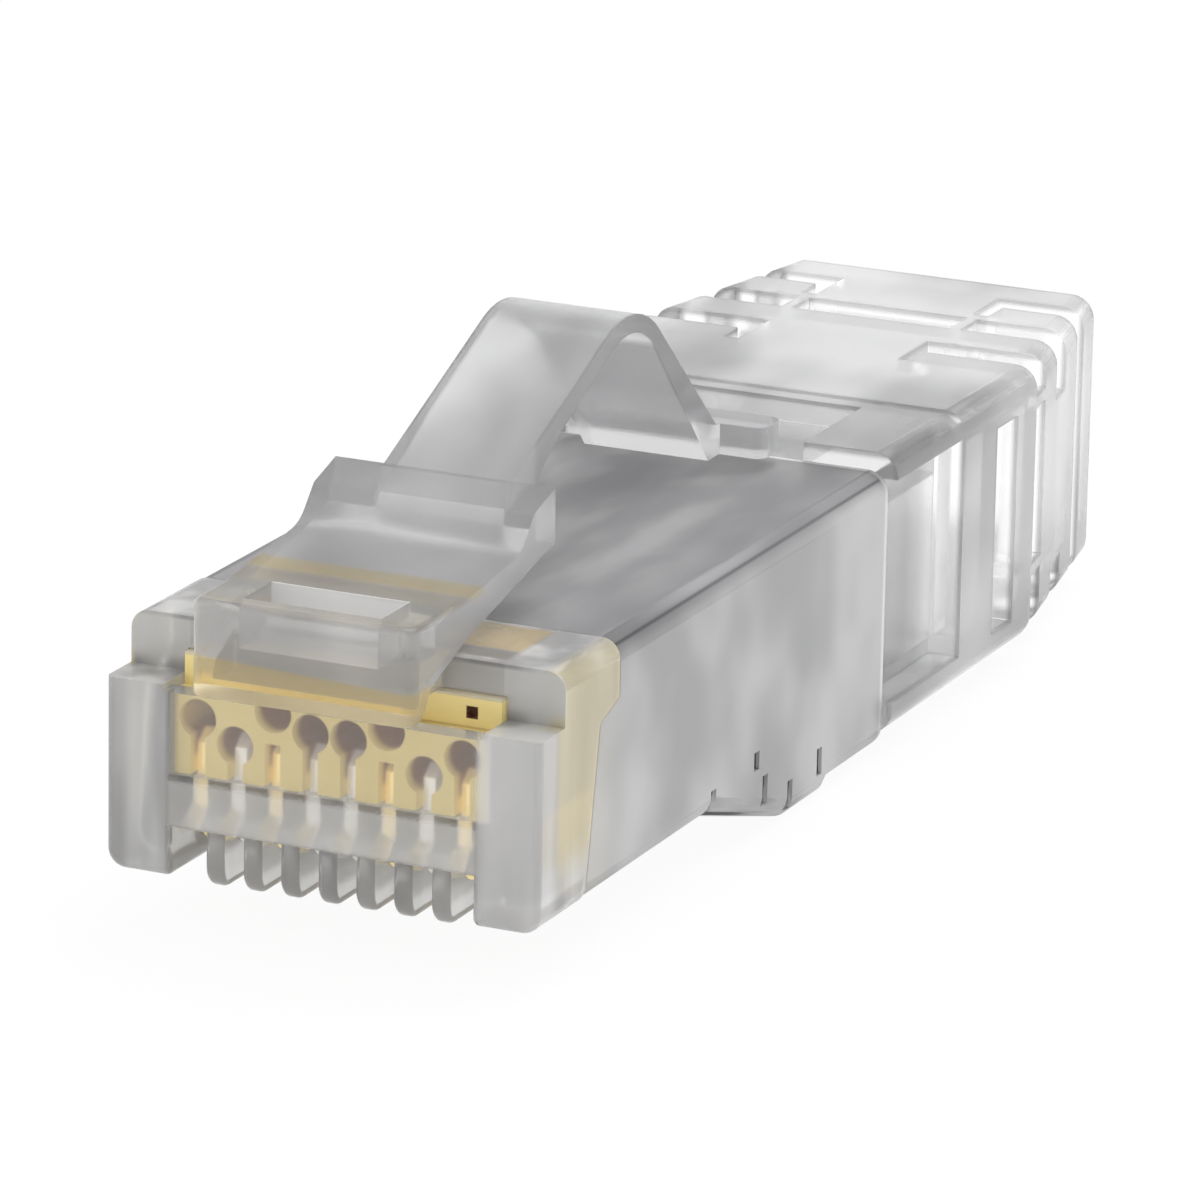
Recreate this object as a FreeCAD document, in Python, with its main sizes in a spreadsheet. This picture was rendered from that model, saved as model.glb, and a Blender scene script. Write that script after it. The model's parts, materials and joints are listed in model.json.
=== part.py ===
import FreeCAD, Part
import math
import os
import re
import Sketcher

# Shielded RJ45 modular plug with a bend-relief boot, in millimetres.
# Sketches use the plug's own datums: X across, Y from the nose's front face towards the cable,
# Z up from the nose's underside. Each body is then placed so that the origin is the bottom centre.

SIZES = {
    # plug body
    "body_width": 11.68,
    "body_height": 6.26,
    "body_round": 0.6,
    "block_drop": 1.38,
    "block_round": 0.5,
    "edge_round": 0.2,
    "setback": 1.35,
    "wall_drop": 0.16,
    "front_wall": 0.64,
    # contact comb
    "way_count": 8,
    "pitch": 1.016,
    "fin_width": 0.5,
    "fin_front": 0.34,
    "fin_drop": 0.28,
    "fin_round": 0.55,
    "fin_edge": 0.16,
    "comb_margin": 0.8,
    "bay_height": 1.3,
    "slot_height": 1.95,
    "slot_slant": 1.3,
    # contact blades
    "blade_thick": 0.34,
    "blade_front": 1.0,
    "blade_end": 6.0,
    "blade_base": 0.68,
    "blade_round": 0.5,
    "blade_shoulder": 2.1,
    "tine_reach": 1.06,
    "tine_width": 0.8,
    "tine_point": 0.3,
    "blade_gap": 0.03,
    # load bar
    "bar_drop": 3.72,
    "bar_length": 7.9,
    "bar_height": 2.88,
    "bar_margin": 0.2,
    "bar_step": 0.45,
    "bar_ledge": 0.1,
    "bar_gap": 0.04,
    "wire_hole": 0.98,
    "wire_low": 0.91,
    "wire_outer": 1.46,
    "wire_middle": 1.51,
    "wire_high": 1.88,
    "dimple_size": 0.3,
    "dimple_depth": 0.25,
    "dimple_place": 3.48,
    "dimple_drop": 0.42,
    # shield
    "sheet": 0.2,
    "sheet_gap": 0.02,
    "seam_top": 4.5,
    "seam_step": 3.4,
    "seam_base": 2.62,
    "seam_rise": 0.36,
    "seam_drop": 0.08,
    "seam_gap": 0.04,
    "shield_end": 21.35,
    "belly_drop": 1.48,
    "belly_start": 10.3,
    "belly_front": 15.4,
    "belly_rear": 17.65,
    "belly_slant": 0.35,
    "belly_lift": 0.24,
    # fingers of the sheet: place behind the belly's start, height above its lowest face, length
    "finger_width": 0.32,
    "first_place": 0.1,
    "first_height": 1.55,
    "first_length": 0.67,
    "second_place": 2.8,
    "second_height": 1.97,
    "second_length": 0.49,
    "third_place": 3.37,
    "third_height": 0.88,
    "third_length": 0.81,
    "fourth_place": 5.0,
    "fourth_height": 0.28,
    "fourth_length": 0.81,
    "fifth_place": 6.9,
    "fifth_height": 0.68,
    "fifth_length": 0.73,
    # housing core
    "core_wall": 0.7,
    "core_inset": 0.45,
    # latch: heights above the plug body's top
    "root_overhang": 1.14,
    "root_drop": 1.13,
    "root_lip": 0.6,
    "root_slant": 0.2,
    "heel_drop": 0.36,
    "root_round": 0.36,
    "plate_half": 3.0,
    "plate_rise": 1.3,
    "plate_lift": 0.36,
    "plate_flat": 1.6,
    "plate_crown": 0.37,
    "plate_bend": 1.9,
    "web_inset": 0.4,
    "film_gap": 0.05,
    "window_half": 1.85,
    "window_front": 0.55,
    "window_rear": 1.0,
    "window_lift": 0.09,
    "step_foot": 4.8,
    "step_head": 5.59,
    "step_rise": 2.51,
    "step_brim": 0.29,
    "ramp_round": 1.2,
    "catch_end": 6.79,
    "catch_rise": 2.87,
    "catch_lift": 1.46,
    "knee_run": 2.81,
    "knee_rise": 1.85,
    "arm_half": 1.76,
    "arch_place": 14.28,
    "arch_rise": 5.93,
    "arch_round": 2.9,
    "arch_skew": 0.08,
    "arch_drop": 0.5,
    "arm_thick": 0.55,
    "split_back": 0.58,
    "split_gap": 0.04,
    # cross bar on the latch's tail
    "cross_half": 3.0,
    "cross_inset": 0.4,
    "cross_length": 1.25,
    "cross_lift": 0.36,
    "cross_thick": 0.83,
    "cross_round": 0.35,
    "crook_top": 0.23,
    "crook_base": 0.73,
    # boot
    "boot_gap": 0.03,
    "boot_flare": 0.26,
    "boot_base": 0.88,
    "boot_rise": 0.49,
    "boot_round": 0.65,
    "boot_wall": 1.1,
    "boot_taper": 1.45,
    "neck_length": 4.73,
    "sleeve_length": 4.92,
    "taper_length": 8.1,
    "neck_inset": 0.64,
    "neck_drop": 0.21,
    "insert_length": 2.5,
    "insert_gap": 0.05,
    "insert_wall": 0.6,
    "trough_margin": 0.4,
    "trough_length": 3.95,
    "groove_width": 0.3,
    "groove_depth": 0.25,
    # relief slots of the boot, counted from its cable end
    "end_ring": 1.35,
    "ring": 1.52,
    "slot_end": 0.95,
    "slot_cross": 1.25,
    "slot_wrap": 1.15,
    "slot_side": 1.45,
    "slot_depth": 0.35,
    "roof_depth": 0.22,
    "spine_half": 2.35,
    "rib": 0.32,
    "foot_width": 0.45,
    "foot_length": 1.05,
    "side_drop": 1.0,
    "cross_drop": 1.65,
    "corner_top": 0.42,
    "rib_low": 0.85,
    "rib_drop": 1.21,
    # how far a cutting outline passes the piece that it cuts
    "overshoot": 1.0,
}

# Places that follow from the sizes, as expressions on them.
DERIVED = {
    "block_height": "body_height - block_drop",
    "wall_height": "block_height - wall_drop",
    "seam_upper": "block_height - seam_drop",
    "seam_lower": "seam_upper - seam_rise",
    "core_half": "body_width / 2 - sheet - sheet_gap",
    "core_top": "body_height - sheet - sheet_gap",
    "core_end": "shield_end - core_inset",
    "cavity_half": "core_half - core_wall",
    "cavity_floor": "sheet + sheet_gap + core_wall",
    "cavity_top": "core_top - core_wall",
    "bay_half": "way_count * pitch / 2",
    "comb_end": "blade_end + comb_margin",
    "first_way": "-(way_count - 1) * pitch / 2",
    "bar_half": "bay_half + bar_margin",
    "bar_front": "front_wall + bar_gap",
    "bar_end": "bar_front + bar_length",
    "step_front": "bar_front + bar_step",
    "step_base": "wall_height - bar_ledge",
    "bar_base": "body_height - bar_drop",
    "bar_top": "bar_base + bar_height",
    "tine_height": "bar_base + tine_reach",
    "root_base": "body_height - root_drop",
    "root_heel": "body_height - heel_drop",
    "plate_top": "body_height + plate_rise",
    "plate_base": "body_height + plate_lift",
    "web_base": "bar_top + film_gap",
    "web_half": "plate_half - web_inset",
    "window_floor": "body_height + window_lift",
    "step_height": "body_height + step_rise",
    "catch_top": "body_height + catch_rise",
    "catch_base": "body_height + catch_lift",
    "arch_height": "body_height + arch_rise",
    "split": "arch_place - split_back",
    "cross_end": "shield_end - cross_inset",
    "cross_front": "cross_end - cross_length",
    "cross_base": "body_height + cross_lift",
    "cross_top": "cross_base + cross_thick",
    "boot_front": "shield_end + boot_gap",
    "neck_end": "shield_end + neck_length",
    "taper_start": "neck_end + sleeve_length",
    "boot_end": "taper_start + taper_length",
    "boot_half": "body_width / 2 + boot_flare",
    "boot_top": "body_height + boot_rise",
    "tail_half": "boot_half - boot_taper",
    "neck_half": "body_width / 2 - neck_inset",
    "neck_top": "body_height - neck_drop",
    "insert_front": "shield_end - insert_length",
    "insert_half": "cavity_half - insert_gap",
    "insert_base": "cavity_floor - belly_drop + insert_gap",
    "insert_top": "cavity_top - insert_gap",
    "trough_half": "cross_half + trough_margin",
    "trough_end": "shield_end + trough_length",
    "chamber_front": "neck_end + boot_wall",
}

FINGERS = ("first", "second", "third", "fourth", "fifth")

# Wire holes from the middle of the load bar outwards, by the name of their height.
WIRE_ROWS = ("wire_middle", "wire_high", "wire_low", "wire_outer")

PLACE_Y = "-(boot_end - root_overhang) / 2"
PLACE_Z = "belly_drop"

doc = FreeCAD.newDocument("modular_plug")
sheet = doc.addObject("Spreadsheet::Sheet", "dims")
for row, (alias, value) in enumerate(SIZES.items(), start=1):
    sheet.set("A%d" % row, alias)
    sheet.set("B%d" % row, str(value))
    sheet.setAlias("B%d" % row, alias)
doc.recompute()


def link(text):
    """Write an expression's names as references to the spreadsheet."""
    def expand(word):
        name = word.group()
        if name in DERIVED:
            return "(" + link(DERIVED[name]) + ")"
        return "dims." + name if name in SIZES else name
    return re.sub("[a-z_]+", expand, text)


def size(alias):
    return float(sheet.get(alias))


def new_body(label):
    body = doc.addObject("PartDesign::Body", label)
    body.Label = label
    body.setExpression("Placement.Base.y", link(PLACE_Y))
    body.setExpression("Placement.Base.z", link(PLACE_Z))
    return body


def origin_feature(body, role):
    return next(part for part in body.Origin.OriginFeatures if part.Role == role)


def new_sketch(body, name, role, offset):
    sketch = body.newObject("Sketcher::SketchObject", name)
    sketch.AttachmentSupport = [(origin_feature(body, role), "")]
    sketch.MapMode = "FlatFace"
    sketch.setExpression("AttachmentOffset.Base.z", link(offset))
    return sketch


def place_point(sketch, geometry, point, across, along):
    for kind, text in (("DistanceX", across), ("DistanceY", along)):
        index = sketch.addConstraint(Sketcher.Constraint(kind, -1, 1, geometry, point, 1.0))
        sketch.setExpression("Constraints[%d]" % index, link(text))


def outline(body, name, role, corners, offset="0"):
    """A closed outline of straight sides through corners given as pairs of expressions."""
    sketch = new_sketch(body, name, role, offset)
    count = len(corners)
    turn = 2 * math.pi / count
    ring = [FreeCAD.Vector(math.cos(turn * i), math.sin(turn * i), 0) for i in range(count)]
    for i in range(count):
        sketch.addGeometry(Part.LineSegment(ring[i], ring[(i + 1) % count]))
    for i in range(count):
        sketch.addConstraint(Sketcher.Constraint("Coincident", i, 2, (i + 1) % count, 1))
    for i, (across, along) in enumerate(corners):
        place_point(sketch, i, 1, across, along)
    return sketch


def circles(body, name, role, centres, diameter, offset="0"):
    sketch = new_sketch(body, name, role, offset)
    for i, (across, along) in enumerate(centres):
        sketch.addGeometry(Part.Circle(FreeCAD.Vector(i, 0, 0), FreeCAD.Vector(0, 0, 1), 1))
        place_point(sketch, i, 3, across, along)
        index = sketch.addConstraint(Sketcher.Constraint("Diameter", i, 1.0))
        sketch.setExpression("Constraints[%d]" % index, link(diameter))
    return sketch


def extrude(body, kind, name, sketch, length, symmetric=False, reverse=False):
    feature = body.newObject("PartDesign::" + kind, name)
    feature.Profile = sketch
    feature.setExpression("Length", link(length))
    feature.SideType = "Symmetric" if symmetric else "One side"
    feature.Reversed = reverse
    doc.recompute()
    return feature


def across(body, kind, name, corners, width):
    """A side outline (Y, Z) carried over a width that is centred on the plug."""
    return extrude(body, kind, name, outline(body, name + "_outline", "YZ_Plane", corners), width, symmetric=True)


def upward(body, kind, name, corners, base, height):
    """A plan outline (X, Y) carried up from a base height."""
    sketch = outline(body, name + "_outline", "XY_Plane", corners, base)
    return extrude(body, kind, name, sketch, height, reverse=(kind == "Pocket"))


def rectangle(left, right, front, rear):
    return [(left, front), (right, front), (right, rear), (left, rear)]


def mirror(body, originals, name):
    feature = body.newObject("PartDesign::Mirrored", name)
    feature.Originals = originals
    feature.MirrorPlane = (origin_feature(body, "YZ_Plane"), [""])
    body.Tip = feature
    doc.recompute()
    return feature


def fillet(body, name, radius, pick):
    """Round the edges of the body so far whose middle point and direction are picked."""
    base = body.Tip
    names = []
    for index, edge in enumerate(base.Shape.Edges, start=1):
        first, last = edge.Vertexes[0].Point, edge.Vertexes[-1].Point
        middle = edge.valueAt((edge.FirstParameter + edge.LastParameter) / 2)
        way = last - first
        if way.Length > 0 and pick(middle, way.normalize()):
            names.append("Edge%d" % index)
    feature = body.newObject("PartDesign::Fillet", name)
    feature.Base = (base, names)
    feature.setExpression("Radius", link(radius))
    doc.recompute()
    return feature


def near(value, target):
    return abs(value - target) < 0.002


def belly(lift, front, rear):
    """Underside of the shield, or of the core when lifted off the sheet: points from front to rear."""
    return [
        (front, lift),
        ("belly_start", lift),
        ("belly_front", "%s - belly_drop" % lift),
        ("belly_rear - (%s)" % lift, "%s - belly_drop" % lift),
        ("belly_rear + belly_slant - (%s)" % lift, "%s - belly_drop + belly_lift" % lift),
        (rear, "%s - belly_drop + belly_lift" % lift),
    ]


def make_housing():
    body = new_body("plug_housing")
    nose = [
        ("0", "0"),
        ("0", "block_height"),
        ("setback", "block_height"),
        ("setback", "body_height"),
        ("seam_top", "body_height"),
        ("seam_top", "seam_upper"),
        ("seam_step", "seam_lower"),
        ("seam_base", "0"),
    ]
    across(body, "Pad", "nose", nose, "body_width")
    half = size("body_width") / 2
    heights = (0, size("body_height"))
    fillet(body, "nose_sides", "block_round",
           lambda at, way: near(abs(at.x), half) and abs(way.y) > 0.99 and any(near(at.z, z) for z in heights))
    fillet(body, "nose_front", "edge_round",
           lambda at, way: near(abs(at.x), half) and near(at.y, 0) and abs(way.z) > 0.99)
    core = belly("sheet + sheet_gap", "seam_base - sheet", "core_end") + [
        ("core_end", "core_top"),
        ("seam_base - sheet", "core_top"),
    ]
    across(body, "Pad", "core", core, "2 * core_half")
    inner = half - size("sheet") - size("sheet_gap")
    fillet(body, "core_sides", "body_round - sheet",
           lambda at, way: near(abs(at.x), inner) and at.y > size("seam_top") and abs(way.y) > 0.5)

    upward(body, "Pocket", "bay", rectangle("-bay_half", "bay_half", "-overshoot", "comb_end"),
           "-fin_drop - overshoot", "fin_drop + overshoot + bay_height")
    fins = "(bay_half - pitch + fin_width / 2)"
    upward(body, "Pad", "comb", rectangle("-" + fins, fins, "fin_front", "comb_end"), "-fin_drop",
           "fin_drop + bay_height")
    fillet(body, "comb_front", "fin_round",
           lambda at, way: near(at.y, size("fin_front")) and near(at.z, -size("fin_drop")) and abs(way.x) > 0.99)

    slot = [
        ("-overshoot", "-fin_drop - overshoot"),
        ("comb_end", "-fin_drop - overshoot"),
        ("comb_end", "slot_height"),
        ("slot_slant", "slot_height"),
        ("0", "bay_height"),
        ("-overshoot", "bay_height"),
    ]
    cut_ways(body, "finger_slot", slot, "pitch - fin_width")
    bottom = -size("fin_drop")
    reach = size("fin_front") + size("fin_round")
    fillet(body, "fin_edges", "fin_edge",
           lambda at, way: abs(way.x) < 0.01 and at.z < size("bay_height") - size("fin_edge")
           and (near(at.z, bottom) and at.y > reach or at.z < bottom + size("fin_round") and at.y < reach
                or near(at.y, size("fin_front"))))
    blade = [
        ("blade_front - blade_gap", "bay_height"),
        ("blade_end + blade_gap", "bay_height"),
        ("blade_end + blade_gap", "bar_base + bar_gap"),
        ("blade_front - blade_gap", "bar_base + bar_gap"),
    ]
    cut_ways(body, "blade_slot", blade, "blade_thick + 2 * blade_gap")

    side = "(bar_half + bar_gap)"
    upward(body, "Pocket", "bar_cavity", rectangle("-" + side, side, "front_wall", "bar_end + bar_gap"),
           "bar_base - bar_gap", "bar_height + 2 * bar_gap")
    upward(body, "Pocket", "bar_window", rectangle("-" + side, side, "-overshoot", "setback + bar_gap"),
           "wall_height", "bar_top + bar_gap - wall_height")
    cavity = [
        ("bar_end", "cavity_floor"),
        ("belly_start", "cavity_floor"),
        ("belly_front", "cavity_floor - belly_drop"),
        ("core_end + overshoot", "cavity_floor - belly_drop"),
        ("core_end + overshoot", "cavity_top"),
        ("bar_end", "cavity_top"),
    ]
    across(body, "Pocket", "cable_cavity", cavity, "2 * cavity_half")


def cut_ways(body, name, corners, width):
    """Cut one way's opening and repeat it for every contact."""
    sketch = outline(body, name + "_outline", "YZ_Plane", corners, "first_way")
    first = extrude(body, "Pocket", name, sketch, width, symmetric=True)
    row = body.newObject("PartDesign::LinearPattern", name + "_row")
    row.Originals = [first]
    row.Direction = (origin_feature(body, "X_Axis"), [""])
    row.setExpression("Length", link("(way_count - 1) * pitch"))
    row.setExpression("Occurrences", link("way_count"))
    body.Tip = row
    doc.recompute()


def make_contact(number):
    body = new_body("contact_%d" % number)
    body.setExpression("Placement.Base.x", link("first_way + %d * pitch" % (number - 1)))
    tines = []
    for start in ("blade_front", "(blade_front + blade_end - tine_width) / 2", "blade_end - tine_width"):
        tines += [
            (start, "blade_shoulder"),
            (start, "tine_height - tine_point"),
            (start + " + tine_width / 2", "tine_height"),
            (start + " + tine_width", "tine_height - tine_point"),
            (start + " + tine_width", "blade_shoulder"),
        ]
    # The outermost tines run straight down into the blade, so their outer shoulders drop out.
    corners = [("blade_front", "blade_base")] + tines[1:-1] + [("blade_end", "blade_base")]
    across(body, "Pad", "blade", corners, "blade_thick")
    fillet(body, "blade_corner", "blade_round",
           lambda at, way: near(at.y, size("blade_front")) and near(at.z, size("blade_base")) and abs(way.x) > 0.99)


def make_load_bar():
    body = new_body("load_bar")
    upward(body, "Pad", "bar", rectangle("-bar_half", "bar_half", "bar_front", "bar_end"), "bar_base", "bar_height")
    centres = []
    for step, rise in enumerate(WIRE_ROWS):
        centres += [("%s(%d + 0.5) * pitch" % (sign, step), "bar_base + " + rise) for sign in ("-", "")]
    holes = circles(body, "wire_centres", "XZ_Plane", centres, "wire_hole", "-bar_front")
    extrude(body, "Pocket", "wire_holes", holes, "bar_length")
    upward(body, "Pocket", "step", rectangle("-bar_half - overshoot", "bar_half + overshoot", "0", "step_front"),
           "step_base", "bar_top - step_base + overshoot")
    places = [("-dimple_place", "bar_top - dimple_drop"), ("dimple_place", "bar_top - dimple_drop")]
    dimples = circles(body, "dimple_centres", "XZ_Plane", places, "dimple_size", "-step_front")
    extrude(body, "Pocket", "dimples", dimples, "dimple_depth")
    slot = [
        ("bar_front - overshoot", "blade_base"),
        ("blade_end + blade_gap", "blade_base"),
        ("blade_end + blade_gap", "tine_height + blade_gap"),
        ("bar_front - overshoot", "tine_height + blade_gap"),
    ]
    cut_ways(body, "blade_slot", slot, "blade_thick + 2 * blade_gap")


def make_shield():
    body = new_body("shield")
    case = belly("0", "0", "shield_end") + [("shield_end", "body_height"), ("0", "body_height")]
    across(body, "Pad", "case", case, "body_width")
    half = size("body_width") / 2
    fillet(body, "case_sides", "body_round", lambda at, way: near(abs(at.x), half) and abs(way.y) > 0.5)
    solid = body.Tip
    places = (0, size("shield_end"))
    ends = ["Face%d" % index for index, face in enumerate(solid.Shape.Faces, start=1)
            if any(near(face.CenterOfMass.y, place) for place in places)]
    shell = body.newObject("PartDesign::Thickness", "shell")
    shell.Base = (solid, ends)
    shell.setExpression("Value", link("sheet"))
    shell.Reversed = True
    doc.recompute()
    seam = [
        ("-overshoot", "-overshoot"),
        ("seam_base + seam_gap - (seam_step - seam_base) * overshoot / seam_lower", "-overshoot"),
        ("seam_step + seam_gap", "seam_lower"),
        ("seam_top + seam_gap", "seam_upper"),
        ("seam_top + seam_gap", "body_height + overshoot"),
        ("-overshoot", "body_height + overshoot"),
    ]
    across(body, "Pocket", "seam", seam, "body_width + overshoot")
    window = "(bay_half + seam_gap)"
    upward(body, "Pocket", "comb_window", rectangle("-" + window, window, "-overshoot", "comb_end + seam_gap"),
           "-overshoot", "overshoot + 2 * sheet")
    for name in FINGERS:
        place = "belly_start + %s_place" % name
        base = "%s_height - belly_drop" % name
        top = "%s + %s_length" % (base, name)
        front = place + " - finger_width / 2"
        rear = place + " + finger_width / 2"
        across(body, "Pocket", name + "_finger", [(front, base), (rear, base), (rear, top), (front, top)],
               "body_width + overshoot")


def arch(body):
    """Strip of the latch from the catch over the arch to the cross bar, before it is parted."""
    corners = [
        ("step_head", "step_height - step_brim"),
        ("arch_place", "arch_height"),
        ("cross_front - crook_top", "cross_top"),
        ("cross_front + cross_round", "cross_top"),
        ("cross_front + cross_round", "cross_base"),
        ("cross_front - crook_base", "cross_base"),
        ("arch_place + arch_skew", "arch_height - arch_drop"),
        ("catch_end + knee_run", "catch_base + knee_rise"),
        ("catch_end", "catch_base"),
        ("step_head", "catch_base"),
    ]
    across(body, "Pad", "strip", corners, "2 * arm_half")
    outer = size("arch_place")
    inner = outer + size("arch_skew")
    fillet(body, "arch_top", "arch_round", lambda at, way: near(at.y, outer) and abs(way.x) > 0.99)
    fillet(body, "arch_inside", "arch_round - arm_thick",
           lambda at, way: near(at.y, inner) and abs(way.x) > 0.99)


def part_strip(body, front, rear):
    """Cut away the strip between two places along Y, over its whole height."""
    corners = [(front, "0"), (rear, "0"), (rear, "arch_height"), (front, "arch_height")]
    across(body, "Pocket", "parting", corners, "2 * arm_half + overshoot")


def make_latch():
    body = new_body("latch")
    arch(body)
    part_strip(body, "split - split_gap / 2", "cross_end")
    plate = [
        ("-root_overhang", "root_base"),
        ("-root_overhang + root_lip", "root_base + root_slant"),
        ("-root_slant", "root_heel"),
        ("plate_bend", "plate_base"),
        ("catch_end", "catch_base"),
        ("catch_end", "catch_top"),
        ("step_head", "step_height"),
        ("step_foot", "plate_top + plate_crown"),
        ("plate_flat", "plate_top"),
        ("-root_overhang", "plate_top"),
    ]
    across(body, "Pad", "plate", plate, "2 * plate_half")
    web = [
        ("-root_lip", "web_base"),
        ("setback - film_gap", "web_base"),
        ("setback - film_gap", "plate_base"),
        ("-root_lip", "plate_base"),
    ]
    across(body, "Pad", "web", web, "2 * web_half")
    upward(body, "Pocket", "window",
           rectangle("-window_half", "window_half", "-window_front", "window_rear"), "window_floor",
           "plate_top - window_floor + overshoot")
    fillet(body, "ramp", "ramp_round", lambda at, way: near(at.y, size("step_foot")) and abs(way.x) > 0.99)
    half = size("plate_half")
    top = size("body_height") + size("plate_rise")
    fillet(body, "root_corners", "root_round",
           lambda at, way: near(abs(at.x), half) and near(at.y, -size("root_overhang")) and abs(way.z) > 0.99)
    fillet(body, "root_brow", "edge_round",
           lambda at, way: near(at.y, -size("root_overhang")) and near(at.z, top) and abs(way.x) > 0.99)


def make_latch_tail():
    body = new_body("latch_tail")
    arch(body)
    part_strip(body, "0", "split + split_gap / 2")
    upward(body, "Pad", "cross_bar", rectangle("-cross_half", "cross_half", "cross_front", "cross_end"),
           "cross_base", "cross_thick")
    half = size("cross_half")
    fillet(body, "cross_ends", "cross_round", lambda at, way: near(abs(at.x), half) and abs(way.z) > 0.99)


def make_boot():
    body = new_body("boot")
    plan = [
        ("-boot_half", "boot_front"),
        ("boot_half", "boot_front"),
        ("boot_half", "taper_start"),
        ("tail_half", "boot_end"),
        ("-tail_half", "boot_end"),
        ("-boot_half", "taper_start"),
    ]
    upward(body, "Pad", "sleeve", plan, "-boot_base", "boot_base + boot_top")
    heights = (-size("boot_base"), size("body_height") + size("boot_rise"))
    fillet(body, "sleeve_sides", "boot_round",
           lambda at, way: abs(way.y) > 0.9 and any(near(at.z, z) for z in heights))
    side = upward(body, "Pocket", "neck_side",
                  rectangle("neck_half", "boot_half + overshoot", "boot_front - overshoot", "neck_end"),
                  "0", "neck_top")
    mirror(body, [side], "neck_sides")
    upward(body, "Pocket", "trough",
           rectangle("-trough_half", "trough_half", "boot_front - overshoot", "trough_end"),
           "neck_top", "boot_top - neck_top + overshoot")
    upward(body, "Pocket", "groove",
           rectangle("-boot_half - overshoot", "boot_half + overshoot", "neck_end - groove_width", "neck_end"),
           "boot_top - groove_depth", "groove_depth + overshoot")
    upward(body, "Pad", "insert",
           rectangle("-insert_half", "insert_half", "insert_front", "boot_front + boot_wall"),
           "insert_base", "insert_top - insert_base")
    bore = "(insert_half - insert_wall)"
    upward(body, "Pocket", "passage", rectangle("-" + bore, bore, "insert_front - overshoot", "chamber_front"),
           "insert_base + insert_wall", "insert_top - insert_base - 2 * insert_wall")
    chamber = [
        ("-boot_half + boot_wall", "chamber_front"),
        ("boot_half - boot_wall", "chamber_front"),
        ("boot_half - boot_wall", "taper_start"),
        ("tail_half - boot_wall", "boot_end"),
        ("tail_half - boot_wall", "boot_end + overshoot"),
        ("-tail_half + boot_wall", "boot_end + overshoot"),
        ("-tail_half + boot_wall", "boot_end"),
        ("-boot_half + boot_wall", "taper_start"),
    ]
    upward(body, "Pocket", "chamber", chamber, "-boot_base + boot_wall", "boot_base + boot_top - 2 * boot_wall")
    relief_slots(body)


def relief_slots(body):
    """Slots that let the boot bend: wrapped, crossed and side slots between its rings."""
    end_rear = "boot_end - end_ring"
    end_front = end_rear + " - slot_end"
    cross_rear = end_front + " - ring"
    cross_front = cross_rear + " - slot_cross"
    wrap_rear = cross_front + " - ring"
    wrap_front = wrap_rear + " - slot_wrap"
    side_rear = wrap_front + " - ring"
    side_front = side_rear + " - slot_side"
    outside = "boot_half + overshoot"
    below = "-boot_base - overshoot"
    above = "boot_top + overshoot"
    roof = "boot_top - boot_wall - roof_depth"
    crossing = "spine_half + rib"
    foot = "spine_half + foot_width"
    rib_high = "boot_top - rib_drop"
    wide = "boot_half - boot_wall - slot_depth"
    waist = "(boot_half + tail_half) / 2 - boot_wall - slot_depth"
    narrow = "tail_half - boot_wall"
    cuts = [
        ("end_side", narrow, outside, end_front, end_rear, below, above),
        ("end_top", "spine_half", outside, end_front, end_rear, roof, above),
        ("end_foot", "spine_half", foot, end_front + " - foot_length", end_rear, roof, above),
        ("cross_top", crossing, outside, cross_front, cross_rear, roof, above),
        ("cross_side", waist, outside, cross_front, cross_rear, "boot_top - cross_drop", above),
        ("cross_corner", waist, outside, cross_front, cross_rear, below, "corner_top"),
        ("wrap_corner", wide, outside, wrap_front, wrap_rear, below, "rib_low"),
        ("wrap_side", wide, outside, wrap_front, wrap_rear, "rib_low + rib", rib_high),
        ("wrap_top", "spine_half", "neck_half", wrap_front, wrap_rear, roof, above),
        ("wrap_edge", "neck_half - rib", outside, wrap_front, wrap_rear, rib_high + " + rib", above),
        ("wrap_foot", "spine_half", foot, wrap_front + " - foot_length", wrap_rear, roof, above),
        ("side_slot", wide, outside, side_front, side_rear, "0", "boot_top - side_drop"),
    ]
    for name, inner, outer, front, rear, base, top in cuts:
        half = upward(body, "Pocket", name, rectangle(inner, outer, front, rear), base, "%s - (%s)" % (top, base))
        mirror(body, [half], name + "_pair")
    upward(body, "Pocket", "cross_middle",
           rectangle("-spine_half", "spine_half", cross_front, cross_rear), roof, "%s - (%s)" % (above, roof))


def check_model():
    """Stop before anything is written if a feature failed or a body's shape is not sound."""
    failed = [obj.Name for obj in doc.Objects if "Invalid" in obj.State or "Error" in obj.State]
    if failed:
        raise RuntimeError("failed features: " + ", ".join(failed))
    for body in bodies():
        shape = body.Shape
        if shape.isNull() or not shape.isValid() or len(shape.Solids) != 1:
            raise RuntimeError("unsound shape: " + body.Label)


def bodies():
    return [obj for obj in doc.Objects if obj.TypeId == "PartDesign::Body"]


make_housing()
make_load_bar()
make_shield()
make_boot()
make_latch()
make_latch_tail()
for number in range(1, SIZES["way_count"] + 1):
    make_contact(number)
doc.recompute()
check_model()
os.makedirs("parts", exist_ok=True)
for body in bodies():
    body.Shape.exportStep("parts/%s.step" % body.Label)
    print(body.Label, round(body.Shape.Volume, 3), "mm3")
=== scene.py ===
import json
import math

import bmesh
import bpy
from mathutils import Matrix, Vector


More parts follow.
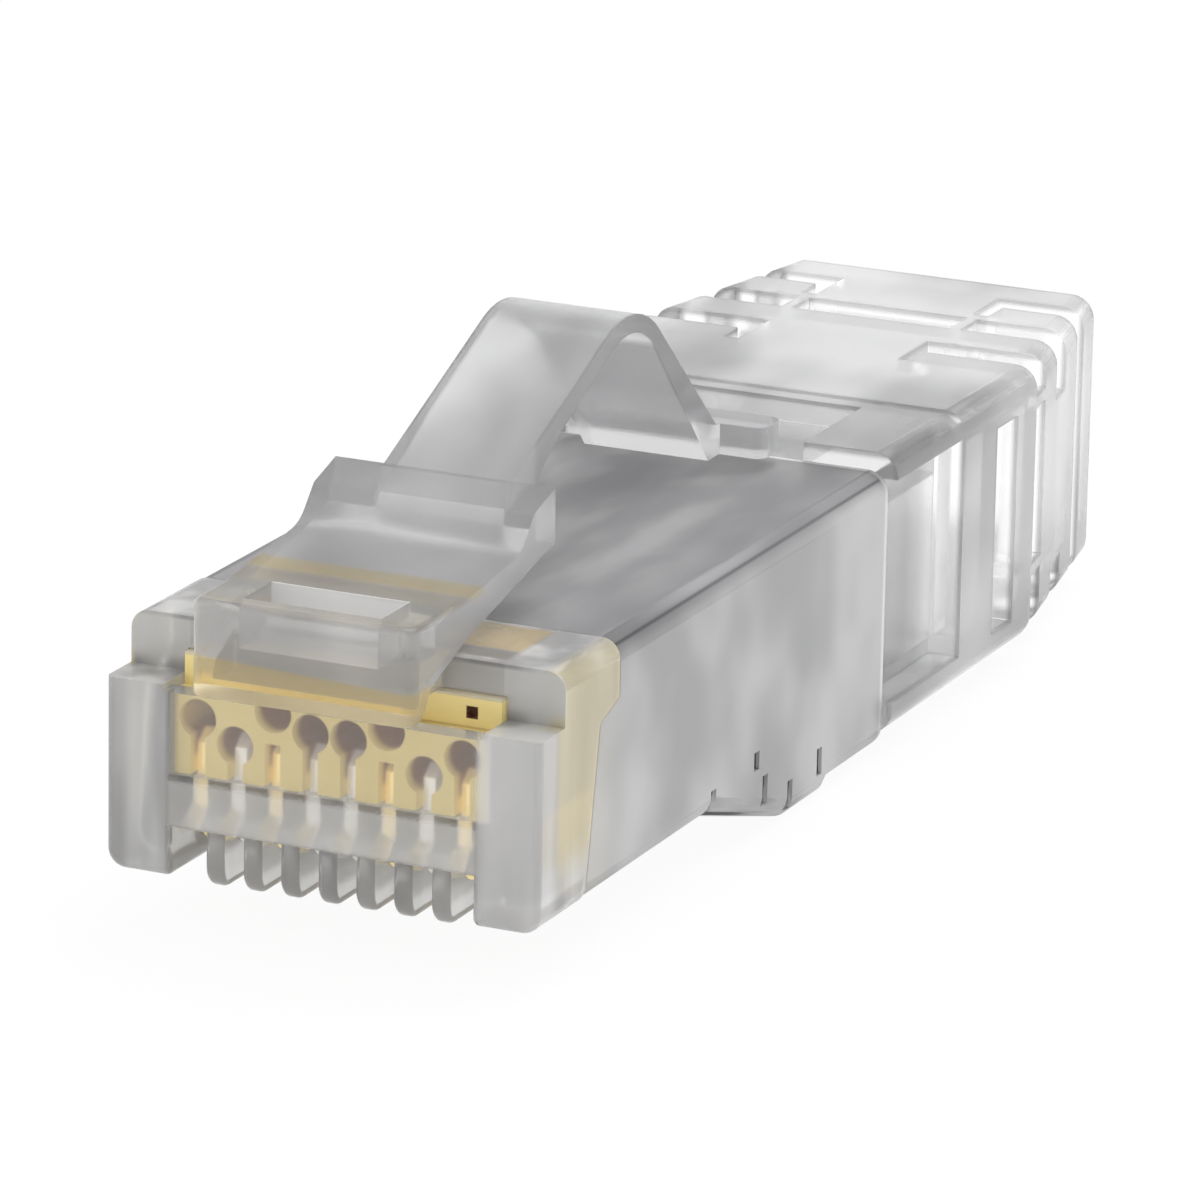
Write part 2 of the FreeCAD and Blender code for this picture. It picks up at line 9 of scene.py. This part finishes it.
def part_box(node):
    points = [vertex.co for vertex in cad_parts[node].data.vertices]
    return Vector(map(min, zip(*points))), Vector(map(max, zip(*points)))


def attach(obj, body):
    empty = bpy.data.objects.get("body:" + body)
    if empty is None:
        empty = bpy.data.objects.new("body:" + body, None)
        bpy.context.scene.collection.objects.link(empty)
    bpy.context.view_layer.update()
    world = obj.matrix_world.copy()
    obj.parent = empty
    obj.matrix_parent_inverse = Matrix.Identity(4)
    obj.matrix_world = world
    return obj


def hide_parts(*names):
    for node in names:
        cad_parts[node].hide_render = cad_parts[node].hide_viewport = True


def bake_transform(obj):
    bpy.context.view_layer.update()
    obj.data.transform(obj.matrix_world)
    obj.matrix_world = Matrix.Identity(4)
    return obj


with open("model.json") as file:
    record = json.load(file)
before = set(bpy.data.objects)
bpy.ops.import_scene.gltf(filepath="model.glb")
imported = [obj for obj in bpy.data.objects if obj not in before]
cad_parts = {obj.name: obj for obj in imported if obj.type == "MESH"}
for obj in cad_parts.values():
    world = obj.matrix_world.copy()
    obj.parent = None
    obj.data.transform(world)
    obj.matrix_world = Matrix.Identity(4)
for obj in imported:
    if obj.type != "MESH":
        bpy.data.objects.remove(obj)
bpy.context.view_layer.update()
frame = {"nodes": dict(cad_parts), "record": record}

mm = 0.001
white = (1, 1, 1, 1)
black = (0, 0, 0, 1)

# The plug's own datums, taken from its solids
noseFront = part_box("plug_housing")[0][1]
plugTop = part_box("shield")[1][2]
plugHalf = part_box("shield")[1][0]
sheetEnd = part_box("shield")[1][1]
barLow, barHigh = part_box("load_bar")
bootLow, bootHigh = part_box("boot")
firstBlade, secondBlade = (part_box(node)[0][0] for node in ("contact_1", "contact_2"))
pitch = secondBlade - firstBlade


# Shader wiring

class Wire:
    def __init__(self, finish, socket):
        self.finish = finish
        self.socket = socket

    def maths(self, operation, first, second=None):
        inputs = {0: first} if second is None else {0: first, 1: second}
        return self.finish.node("ShaderNodeMath", {"operation": operation}, inputs)

    def __add__(self, other):
        return self.maths("ADD", self, other)

    def __radd__(self, other):
        return self.maths("ADD", other, self)

    def __sub__(self, other):
        return self.maths("SUBTRACT", self, other)

    def __rsub__(self, other):
        return self.maths("SUBTRACT", other, self)

    def __mul__(self, other):
        return self.maths("MULTIPLY", self, other)

    def __rmul__(self, other):
        return self.maths("MULTIPLY", other, self)

    def __abs__(self):
        return self.maths("ABSOLUTE", self)

    def least(self, other):
        return self.maths("MINIMUM", self, other)

    def most(self, other):
        return self.maths("MAXIMUM", self, other)

    def fraction(self):
        return self.maths("FRACT", self)


class Finish:
    def __init__(self, owner):
        self.owner = owner
        owner.use_nodes = True
        self.tree = owner.node_tree
        self.tree.nodes.clear()

    def node(self, kind, settings=None, inputs=None, output=0):
        made = self.tree.nodes.new(kind)
        for name, value in (settings or {}).items():
            setattr(made, name, value)
        for name, value in (inputs or {}).items():
            if isinstance(value, Wire):
                self.tree.links.new(value.socket, made.inputs[name])
            else:
                made.inputs[name].default_value = value
        return Wire(self, made.outputs[output])

    def place(self):
        return self.node("ShaderNodeTexCoord", output="Object")

    def axes(self):
        split = self.node("ShaderNodeSeparateXYZ", {}, {"Vector": self.place()})
        return [Wire(self, split.socket.node.outputs[axis]) for axis in "XYZ"]

    def ramp(self, value, low, high):
        settings = {"interpolation_type": "SMOOTHSTEP"}
        inputs = {"Value": value, "From Min": low, "From Max": high}
        return self.node("ShaderNodeMapRange", settings, inputs)

    def between(self, value, low, high, soft):
        rise = self.ramp(value, low - soft, low + soft)
        return rise * (1 - self.ramp(value, high - soft, high + soft))

    # Spans are in millimetres past a datum: rise goes from 0 to 1 over one, band is 1 within it
    def rise(self, value, datum, span):
        low, high = span
        return self.ramp(value, datum + low * mm, datum + high * mm)

    def band(self, value, datum, span):
        low, high, soft = span
        return self.between(value, datum + low * mm, datum + high * mm, soft * mm)

    def noise(self, look):
        vector = self.place()
        if "stretch" in look:
            vector = self.node("ShaderNodeMapping", {}, {"Vector": vector, "Scale": look["stretch"]})
        inputs = {"Vector": vector, "Scale": look["scale"], "Detail": look["detail"]}
        return self.node("ShaderNodeTexNoise", {}, inputs, "Fac")

    def blendColour(self, factor, first, second):
        return self.node("ShaderNodeMix", {"data_type": "RGBA"}, {0: factor, 6: first, 7: second}, 2)

    def marked(self, under, mark, where):
        return self.blendColour(mark["weight"] * where, under, mark["colour"])

    def mixShader(self, factor, first, second):
        return self.node("ShaderNodeMixShader", {}, {0: factor, 1: first, 2: second})

    def principled(self, inputs):
        return self.node("ShaderNodeBsdfPrincipled", {}, inputs)

    def output(self, shader):
        kind = "World" if isinstance(self.owner, bpy.types.World) else "Material"
        out = self.tree.nodes.new("ShaderNodeOutput" + kind)
        self.tree.links.new(shader.socket, out.inputs["Surface"])
        return self.owner


# Finishes

def cloudy(finish, look):
    cloud = finish.noise(look)
    colour = finish.blendColour(finish.ramp(cloud, *look["cloudEdges"]), look["cloud"], look["tint"])
    return colour, look["roughness"] + look["unevenness"] * (cloud - 0.5)


housingLook = {
    "tint": (0.88, 0.88, 0.885, 1), "cloud": (0.50, 0.50, 0.505, 1), "cloudEdges": (0.35, 0.65),
    "scale": 700, "detail": 2.0, "stretch": (1.0, 1.0, 0.15),
    "roughness": 0.2, "unevenness": 0.06, "transmission": 0.5, "ior": 1.4,
    "wall": (0.95, 0.94, 0.92, 1), "wallRoughness": 0.2, "wallTransmission": 0.93,
    # Where the plastic is frosted, and how much: past the bar's ends, foot and head
    "beside": (-0.25, 0.0), "below": (-1.3, -1.2), "above": (-0.5, -0.1),
    "strip": (-1.25, -0.05, 0.1),
    "belowFrost": 0.25, "aboveFrost": 0.8, "stripFrost": 0.65, "stripPaintedLight": 0.7,
    # The comb's fins: painted shade on their flanks, given as shares of the pitch
    "paintedFinShade": {"colour": (0.22, 0.22, 0.22, 1), "weight": 0.22},
    "finLeft": (0.22, 0.34, 0.05), "finRight": (0.70, 0.78, 0.03),
    # Painted amber glow on the cheeks, standing in for the bar seen through the clear plastic
    "paintedAmberGlow": {"colour": (0.95, 0.84, 0.54, 1), "weight": 0.75},
    "cheeks": (-0.14, -0.03), "rightCheek": (-0.7, -0.1),
    "cheekFront": (0.7, 1.3), "cheekFoot": (-2.2, -0.4),
    "roof": (-0.1, -0.05),
    # Painted on the roof: an amber stripe standing in for the bar seen through it, with painted shade before
    # it
    "paintedAmberStripe": {"colour": (0.78, 0.58, 0.26, 1), "weight": 0.9, "span": (2.4, 4.3, 0.1)},
    "shade": {"colour": (0.22, 0.20, 0.18, 1), "weight": 0.8, "span": (1.7, 2.4, 0.1)},
    "riser": (1.27, 1.43, 0.03), "riserHead": (-0.15, -0.05), "riserPaintedLight": 0.85,
}


def housingPlastic():
    finish = Finish(bpy.data.materials.new("clearHousing"))
    look = housingLook
    x, y, z = finish.axes()
    beside = finish.rise(abs(x), barHigh[0], look["beside"])
    below = 1 - finish.rise(z, barLow[2], look["below"])
    above = finish.rise(z, barHigh[2], look["above"])
    strip = finish.band(z, barLow[2], look["strip"])
    frost = beside.most(look["belowFrost"] * below).most(look["stripFrost"] * strip)
    frost = frost.most(look["aboveFrost"] * above)

    # Painted shade: darker bands on the fins' flanks below the bar
    across = (x * (1 / pitch) + 0.5).fraction()
    shadedFinFlanks = finish.between(across, *look["finLeft"]).most(finish.between(across, *look["finRight"]))
    clear = finish.principled({
        "Base Color": finish.marked(look["wall"], look["paintedFinShade"], below * shadedFinFlanks),
        "Roughness": look["wallRoughness"], "IOR": look["ior"],
        "Transmission Weight": look["wallTransmission"],
    })

    colour, roughness = cloudy(finish, look)
    # Painted light: amber glow on the cheeks, more on the right
    cheeks = finish.rise(abs(x), plugHalf, look["cheeks"]).most(finish.rise(x, plugHalf, look["rightCheek"]))
    cheeks = cheeks * finish.rise(y, noseFront, look["cheekFront"])
    cheeks = cheeks * finish.rise(z, barLow[2], look["cheekFoot"])
    colour = finish.marked(colour, look["paintedAmberGlow"], cheeks)
    roof = finish.rise(z, plugTop, look["roof"]) * (1 - beside)
    # Painted light on the roof: see-through amber stripe, then painted shade
    for name in ("paintedAmberStripe", "shade"):
        mark = look[name]
        colour = finish.marked(colour, mark, roof * finish.band(y, noseFront, mark["span"]))
    # Painted light: the frosted strip below the bar and the step's riser are paled towards the wall's colour
    riser = finish.band(y, noseFront, look["riser"]) * above
    riser = riser * (1 - finish.rise(z, plugTop, look["riserHead"]))
    pale = (look["stripPaintedLight"] * strip * (1 - beside)).most(look["riserPaintedLight"] * riser)
    frosted = finish.principled({
        "Base Color": finish.blendColour(pale, colour, look["wall"]),
        "Roughness": roughness, "IOR": look["ior"], "Transmission Weight": look["transmission"],
    })
    return finish.output(finish.mixShader(frost, clear, frosted))


latchLook = {
    "tint": (0.82, 0.82, 0.825, 1), "cloud": (0.64, 0.64, 0.645, 1), "cloudEdges": (0.35, 0.65),
    "scale": 300, "detail": 2.0, "stretch": (1.0, 0.5, 0.6),
    "roughness": 0.22, "unevenness": 0.06, "transmission": 0.78, "ior": 1.35,
    "leg": (0.86, 0.86, 0.865, 1), "legTransmission": 0.9, "legStart": (13.0, 15.0),
    # Painted amber glow on the latch's foot, standing in for the bar seen through it, up to a slightly
    # slanted edge
    "foot": {"colour": (0.90, 0.74, 0.40, 1), "weight": 0.9},
    "footHead": (-0.25, -0.15), "footSlant": 0.04, "footRear": (-0.2, 2.0),
    "plateTop": (1.2, 1.25),
    # Painted on the plate's top: an amber stripe standing in for the bar seen through it, with painted shade
    # before it
    "paintedAmberStripe": {"colour": (0.82, 0.66, 0.32, 1), "weight": 0.75, "span": (1.95, 2.65, 0.12)},
    "shade": {"colour": (0.42, 0.40, 0.34, 1), "weight": 0.55, "span": (-0.9, 1.9, 0.15)},
    # The arm's flanks, darkened by painted shade; over armHeight nothing is wider than the arm
    "paintedFlankShade": {"colour": (0.36, 0.36, 0.365, 1), "weight": 0.7},
    "armHeight": 4.0, "flankSide": (-0.1, -0.02), "flankFoot": (1.8, 2.1), "flankFront": (8.0, 8.5),
    # Painted light: a pale wall seen through the window, glowing though it is no lamp
    "paintedLitShelf": (0.95, 0.95, 0.95, 1), "shelfRoughness": 0.4, "shelfGlow": 0.2, "shelfWeight": 0.5,
    "shelfWall": (0.96, 1.04, 0.01), "shelfWidth": (-1.85, 1.85, 0.02), "shelfFoot": (0.2, 0.3),
}
latchPoints = [vert.co for vert in frame["nodes"]["latch"].data.vertices]
armHalf = max(point.x for point in latchPoints if point.z > plugTop + latchLook["armHeight"] * mm)


def latchPlastic():
    finish = Finish(bpy.data.materials.new("clearLatch"))
    look = latchLook
    x, y, z = finish.axes()
    colour, roughness = cloudy(finish, look)
    foot = 1 - finish.rise(z + look["footSlant"] * x, plugTop, look["footHead"])
    foot = foot * (1 - finish.rise(y, noseFront, look["footRear"]))
    colour = finish.marked(colour, look["foot"], foot)
    plateTop = finish.rise(z, plugTop, look["plateTop"])
    # Painted light on the plate's top: see-through amber stripe, then painted shade
    for name in ("paintedAmberStripe", "shade"):
        mark = look[name]
        colour = finish.marked(colour, mark, plateTop * finish.band(y, noseFront, mark["span"]))
    paintedFlankShade = finish.rise(abs(x), armHalf, look["flankSide"]) * finish.rise(z, plugTop, look["flankFoot"])
    paintedFlankShade = paintedFlankShade * finish.rise(y, noseFront, look["flankFront"])
    arm = finish.principled({
        "Base Color": finish.marked(colour, look["paintedFlankShade"], paintedFlankShade),
        "Roughness": roughness, "IOR": look["ior"], "Transmission Weight": look["transmission"],
    })
    leg = finish.principled({
        "Base Color": finish.marked(look["leg"], look["paintedFlankShade"], paintedFlankShade),
        "Roughness": roughness, "IOR": look["ior"], "Transmission Weight": look["legTransmission"],
    })
    paintedLitShelf = finish.principled({
        "Base Color": look["paintedLitShelf"], "Roughness": look["shelfRoughness"],
        "Emission Color": white, "Emission Strength": look["shelfGlow"],
    })
    inWindow = finish.band(y, noseFront, look["shelfWall"]) * finish.band(x, 0, look["shelfWidth"])
    inWindow = inWindow * finish.rise(z, plugTop, look["shelfFoot"])
    moulding = finish.mixShader(finish.rise(y, noseFront, look["legStart"]), arm, leg)
    return finish.output(finish.mixShader(look["shelfWeight"] * inWindow, moulding, paintedLitShelf))


bootLook = {
    "tint": (0.68, 0.68, 0.685, 1), "cloud": (0.34, 0.34, 0.345, 1), "cloudEdges": (0.35, 0.65),
    "scale": 200, "detail": 2.0, "stretch": (1.0, 0.5, 0.5),
    "roughness": 0.22, "unevenness": 0.06, "transmission": 0.5, "ior": 1.3,
    # Inside of the slots, clearer than the skin; painted light makes it paler and glow towards the passage
    # at the rear
    "trough": (0.74, 0.74, 0.745, 1), "slot": (0.97, 0.97, 0.97, 1), "liningTransmission": 0.97,
    "skin": (0.05, 0.25), "rear": (6.0, 7.0), "glow": 0.06,
    "taperStart": 31.0, "taperEnd": 39.1, "taper": 1.45,
}


def bootPlastic():
    finish = Finish(bpy.data.materials.new("clearBoot"))
    look = bootLook
    x, y, z = finish.axes()
    colour, roughness = cloudy(finish, look)
    lean = look["taper"] / (look["taperEnd"] - look["taperStart"])
    narrowing = (y - (noseFront + look["taperStart"] * mm)).most(0.0) * lean
    depth = (bootHigh[0] - narrowing - abs(x)).least(z - bootLow[2]).least(bootHigh[2] - z)
    skin = finish.principled({
        "Base Color": colour, "Roughness": roughness, "IOR": look["ior"],
        "Transmission Weight": look["transmission"],
    })
    # Painted light: the lining pales and glows towards the rear
    rear = finish.rise(y, bootLow[1], look["rear"])
    lining = finish.principled({
        "Base Color": finish.blendColour(rear, look["trough"], look["slot"]),
        "Roughness": look["roughness"], "IOR": look["ior"],
        "Transmission Weight": look["liningTransmission"],
        "Emission Color": finish.blendColour(rear, black, white), "Emission Strength": look["glow"],
    })
    return finish.output(finish.mixShader(finish.rise(depth, 0, look["skin"]), skin, lining))


barLook = {
    "tint": (0.92, 0.78, 0.36, 1), "cloud": (0.82, 0.66, 0.26, 1), "scale": 500, "detail": 3.0,
    # The glow is painted light: the bar shines in its own colour though it is no lamp
    "roughness": 0.35, "unevenness": 0.1, "specular": 0.3, "glow": 0.12,
    # Painted shade inside the wire holes, darker with depth
    "paintedHoleShade": (0.24, 0.095, 0.025, 1), "skin": (0.05, 0.5),
    "deepFoot": (0.3, 0.6), "deepHead": (-0.85, -0.75),
    # Top face: painted shade dulls it in front, with a darker painted band before the bright strip
    "top": (-0.08, -0.04), "paintedDullShade": (0.62, 0.55, 0.40, 1), "band": (0.30, 0.27, 0.23, 1),
    "bandStart": (2.4, 2.9), "stripStart": (3.3, 3.5),
    "paintedDimpleShade": (0.10, 0.04, 0.02, 1),
    "dimplePlace": 3.48, "dimpleDrop": 0.42, "dimpleEdge": (0.145, 0.165),
}


def amberPlastic():
    finish = Finish(bpy.data.materials.new("amberPlastic"))
    look = barLook
    x, y, z = finish.axes()
    cloud = finish.noise(look)
    colour = finish.blendColour(cloud, look["tint"], look["cloud"])
    paintedDullShade = finish.blendColour(finish.rise(y, noseFront, look["bandStart"]), look["paintedDullShade"], look["band"])
    top = finish.blendColour(finish.rise(y, noseFront, look["stripStart"]), paintedDullShade, colour)
    colour = finish.blendColour(finish.rise(z, barHigh[2], look["top"]), colour, top)
    depth = (y - barLow[1]).least(barHigh[2] - z).least(barHigh[0] - abs(x)).least(z - barLow[2])
    paintedHoleShade = finish.rise(depth, 0, look["skin"]) * finish.rise(z, barLow[2], look["deepFoot"])
    paintedHoleShade = paintedHoleShade * (1 - finish.rise(z, barHigh[2], look["deepHead"]))
    colour = finish.blendColour(paintedHoleShade, colour, look["paintedHoleShade"])
    # Painted shade: a dark patch in and around the dimple
    beside = abs(abs(x) - look["dimplePlace"] * mm)
    aside = beside.most(abs(z - (barHigh[2] - look["dimpleDrop"] * mm)))
    colour = finish.blendColour(1 - finish.rise(aside, 0, look["dimpleEdge"]), colour, look["paintedDimpleShade"])
    # Painted light: emission in the bar's own colour
    return finish.output(finish.principled({
        "Base Color": colour, "Roughness": look["roughness"] + look["unevenness"] * cloud,
        "Specular IOR Level": look["specular"], "Emission Color": colour, "Emission Strength": look["glow"],
    }))


plateLook = {
    # The glow is painted light: the plates shine in their own colour though they are no lamp
    "scale": 900, "detail": 3.0, "metallic": 0.8, "roughness": 0.25, "unevenness": 0.1, "glow": 0.25,
    "gold": {"tint": (1.0, 0.84, 0.42, 1), "cloud": (0.96, 0.76, 0.32, 1)},
    # The pale plate is a painted reflection of the room's white
    "pale": {"tint": (0.80, 0.79, 0.76, 1), "cloud": (0.70, 0.68, 0.63, 1)},
}


def plate(shade):
    finish = Finish(bpy.data.materials.new(shade + "Plate"))
    look = plateLook
    cloud = finish.noise(look)
    colour = finish.blendColour(cloud, look[shade]["tint"], look[shade]["cloud"])
    return finish.output(finish.principled({
        "Base Color": colour, "Metallic": look["metallic"],
        "Roughness": look["roughness"] + look["unevenness"] * cloud,
        "Emission Color": colour, "Emission Strength": look["glow"],
    }))


sheetLook = {
    "tint": (0.57, 0.57, 0.575, 1), "cloud": (0.38, 0.38, 0.385, 1), "cloudEdges": (0.34, 0.66),
    "scale": 600, "detail": 2.0, "stretch": (1.0, 0.35, 0.3),
    "metallic": 0.35, "roughness": 0.42, "unevenness": 0.16,
    # Painted shade on the top face, darker towards its sides
    "paintedTopShade": (0.16, 0.155, 0.165, 1), "top": (-0.5, -0.05),
    "topDusk": 0.41, "sideDusk": 0.18, "duskSide": (-3.5, -0.6),
    "warm": {"colour": (0.62, 0.55, 0.38, 1), "weight": 0.2}, "warmRear": (2.6, 5.2),
    "paintedBendShade": {"colour": (0.09, 0.09, 0.1, 1), "weight": 0.8}, "linePlace": 0.17, "lineEdge": (0.0, 0.07),
    "paintedRimHighlight": (0.75, 0.75, 0.75, 1), "rimStart": (-0.22, -0.1),
}


def satinSheet():
    finish = Finish(bpy.data.materials.new("satinSheet"))
    look = sheetLook
    x, y, z = finish.axes()
    cloud = finish.noise(look)
    colour = finish.blendColour(finish.ramp(cloud, *look["cloudEdges"]), look["cloud"], look["tint"])
    paintedTopShade = look["topDusk"] + look["sideDusk"] * finish.rise(abs(x), plugHalf, look["duskSide"])
    colour = finish.blendColour(finish.rise(z, plugTop, look["top"]) * paintedTopShade, colour, look["paintedTopShade"])
    colour = finish.marked(colour, look["warm"], 1 - finish.rise(y, noseFront, look["warmRear"]))
    # Painted shade: a thin dark band along the bend between top and side
    inset = look["linePlace"] * mm
    corner = (plugHalf - inset - abs(x)).most(plugTop - inset - z)
    colour = finish.marked(colour, look["paintedBendShade"], 1 - finish.rise(corner, 0, look["lineEdge"]))
    # Painted highlight: a pale rim at the sheet's end
    colour = finish.blendColour(finish.rise(y, sheetEnd, look["rimStart"]), colour, look["paintedRimHighlight"])
    return finish.output(finish.principled({
        "Base Color": colour, "Metallic": look["metallic"],
        "Roughness": look["roughness"] + look["unevenness"] * cloud,
    }))


finishes = {
    "clear_housing": housingPlastic(),
    "clear_latch": latchPlastic(),
    "clear_boot": bootPlastic(),
    "amber_bar": amberPlastic(),
    "gold_contact": plate("gold"),
    "satin_shield": satinSheet(),
}
print("finishes", len(finishes))


# Pieces

slots = {part["node"]: part["material_slot"] for part in frame["record"]["subparts"]}
bodyOf = {node: body for body, nodes in frame["record"]["behaviour"]["bodies"].items() for node in nodes}
latchNodes = ("latch", "latch_tail")
reflectionPaintedContacts = ("contact_2", "contact_4", "contact_5", "contact_7")  # those that mirror the room's white
edges = {
    "width": {"plug_housing": 0.06, "load_bar": 0.04, "shield": 0.0, "boot": 0.09}, "otherWidth": 0.02,
    "segments": 2, "angle": 30,
    "merge": 0.0005, "flat": 1,  # how near points become one, and how flat faces do
}


def dress(name, mesh, node, width):
    piece = bpy.data.objects.new(name, mesh)
    bpy.context.scene.collection.objects.link(piece)
    for face in mesh.polygons:
        face.use_smooth = True
    if width:
        bevel = piece.modifiers.new("edges", "BEVEL")
        bevel.width = width * mm
        bevel.segments = edges["segments"]
        bevel.limit_method = "ANGLE"
        bevel.angle_limit = math.radians(edges["angle"])
    weighted = piece.modifiers.new("normals", "WEIGHTED_NORMAL")
    weighted.keep_sharp = True
    mesh.materials.clear()
    mesh.materials.append(finishes[slots[node]])
    return piece


def joinFlats(shape):
    angle = math.radians(edges["flat"])
    bmesh.ops.dissolve_limit(shape, angle_limit=angle, verts=shape.verts, edges=shape.edges)


def dressedCopy(node, width):
    mesh = frame["nodes"][node].data.copy()
    shape = bmesh.new()
    shape.from_mesh(mesh)
    bmesh.ops.remove_doubles(shape, verts=shape.verts, dist=edges["merge"] * mm)
    joinFlats(shape)
    shape.to_mesh(mesh)
    shape.free()
    piece = dress(node + "_piece", mesh, node, width)
    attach(piece, bodyOf[node])
    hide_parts(node)
    return piece


# Painted reflection: some contacts get a pale plate standing in for the room's white they mirror
reflectionPaintedPlate = plate("pale")
for node in slots:
    if node not in latchNodes:
        piece = dressedCopy(node, edges["width"].get(node, edges["otherWidth"]))
        if node in reflectionPaintedContacts:
            piece.data.materials[0] = reflectionPaintedPlate
print("pieces", len(slots) - len(latchNodes))


# Latch, moulded in one strip: its two halves meet again at the top of the arch

latchShape = {"edge": 0.14, "weld": 0.03, "bend": 2.2}  # bend is its reach each way from the top


def moulded():
    shape = bmesh.new()
    for node in latchNodes:
        shape.from_mesh(frame["nodes"][node].data)
    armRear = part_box("latch")[1][1]
    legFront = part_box("latch_tail")[0][1]
    parting = (armRear + legFront) / 2
    for vert in shape.verts:
        if abs(vert.co.y - parting) < legFront - armRear:
            vert.co.y = parting
    bmesh.ops.remove_doubles(shape, verts=shape.verts, dist=latchShape["weld"] * mm)
    inside = [face for face in shape.faces
              if all(abs(vert.co.y - parting) < edges["merge"] * mm for vert in face.verts)]
    bmesh.ops.delete(shape, geom=inside, context="FACES")
    joinFlats(shape)
    print("latch, open edges:", sum(not edge.is_manifold for edge in shape.edges))
    mesh = bpy.data.meshes.new("latch_moulding")
    shape.to_mesh(mesh)
    shape.free()
    piece = dress("latch_moulding", mesh, "latch", latchShape["edge"])
    for node in latchNodes:
        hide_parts(node)
    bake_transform(piece)


moulded()


# Floor, light and camera

studio = {
    "ambient": 0.5, "low": 0.15, "high": 0.65, "overhead": (0.18, 0.18, 0.185, 1),
    "floorSize": 4.0, "floorColour": (0.95, 0.95, 0.95, 1), "floorShade": 0.06,
    "lamps": {
        "key": {"place": (0.05, 0.1, 0.3), "size": 0.3, "power": 0.9},
        "fill": {"place": (-0.2, -0.2, 0.15), "size": 0.3, "power": 0.3},
    },
}
view = {
    "azimuth": 24.179, "elevation": 16.636, "roll": 1.105, "lens": 252.33, "sensor": 36.0,
    "distance": 213.09, "aim": (0.0, -6.98, 4.98), "shift": (-1.755, -0.915), "near": 0.001,
}


# The eye sees plain white; gloss and clear plastic see it dim towards the top
def addSky():
    world = bpy.data.worlds.new("studio")
    bpy.context.scene.world = world
    sky = Finish(world)
    direction = sky.node("ShaderNodeTexCoord", output="Generated")
    height = sky.node("ShaderNodeSeparateXYZ", {}, {"Vector": direction}, "Z")
    byEye, byGloss, byGlass = (sky.node("ShaderNodeLightPath", output="Is %s Ray" % kind)
                               for kind in ("Camera", "Glossy", "Transmission"))
    mirrored = byGloss.most(byGlass)
    overhead = mirrored * sky.ramp(height, studio["low"], studio["high"])
    colour = sky.blendColour(overhead, white, studio["overhead"])
    strength = studio["ambient"] + (1 - studio["ambient"]) * byEye.most(mirrored)
    sky.output(sky.node("ShaderNodeBackground", {}, {"Color": colour, "Strength": strength}))


def addLamp(name, lamp):
    data = bpy.data.lights.new(name, "AREA")
    data.shape = "SQUARE"
    data.size = lamp["size"]
    data.energy = lamp["power"]
    made = bpy.data.objects.new(name, data)
    bpy.context.scene.collection.objects.link(made)
    made.location = lamp["place"]
    made.rotation_euler = (-Vector(lamp["place"])).to_track_quat("-Z", "Y").to_euler()


def addCamera():
    azimuth, elevation, roll = (math.radians(view[name]) for name in ("azimuth", "elevation", "roll"))
    outward = Vector((math.sin(azimuth), -math.cos(azimuth), 0))
    level = Vector((math.cos(azimuth), math.sin(azimuth), 0))
    back = math.cos(elevation) * outward + Vector((0, 0, math.sin(elevation)))
    upright = back.cross(level)
    right = math.cos(roll) * level + math.sin(roll) * upright
    top = math.cos(roll) * upright - math.sin(roll) * level
    across, along = view["shift"]
    place = Vector(view["aim"]) - across * right - along * top + view["distance"] * back
    data = bpy.data.cameras.new("camera")
    data.lens = view["lens"]
    data.sensor_width = view["sensor"]
    data.clip_start = view["near"]
    camera = bpy.data.objects.new("camera", data)
    bpy.context.scene.collection.objects.link(camera)
    turn = Matrix((right, top, back)).transposed().to_4x4()
    camera.matrix_world = Matrix.Translation(place * mm) @ turn
    bpy.context.scene.camera = camera


def addFloor():
    bpy.ops.mesh.primitive_plane_add(size=studio["floorSize"])
    floor = bpy.context.object
    floor.name = "floor"
    finish = Finish(bpy.data.materials.new("paleFloor"))
    glow = finish.node("ShaderNodeEmission", {}, {"Color": white})
    matt = finish.node("ShaderNodeBsdfDiffuse", {}, {"Color": studio["floorColour"]})
    pale = finish.mixShader(studio["floorShade"], glow, matt)
    bounced = finish.node("ShaderNodeLightPath", output="Is Diffuse Ray")
    floor.data.materials.append(finish.output(finish.mixShader(bounced, pale, matt)))


addSky()
for name, lamp in studio["lamps"].items():
    addLamp(name, lamp)
addCamera()
addFloor()
bpy.context.scene.view_settings.view_transform = "Standard"
print("stage")
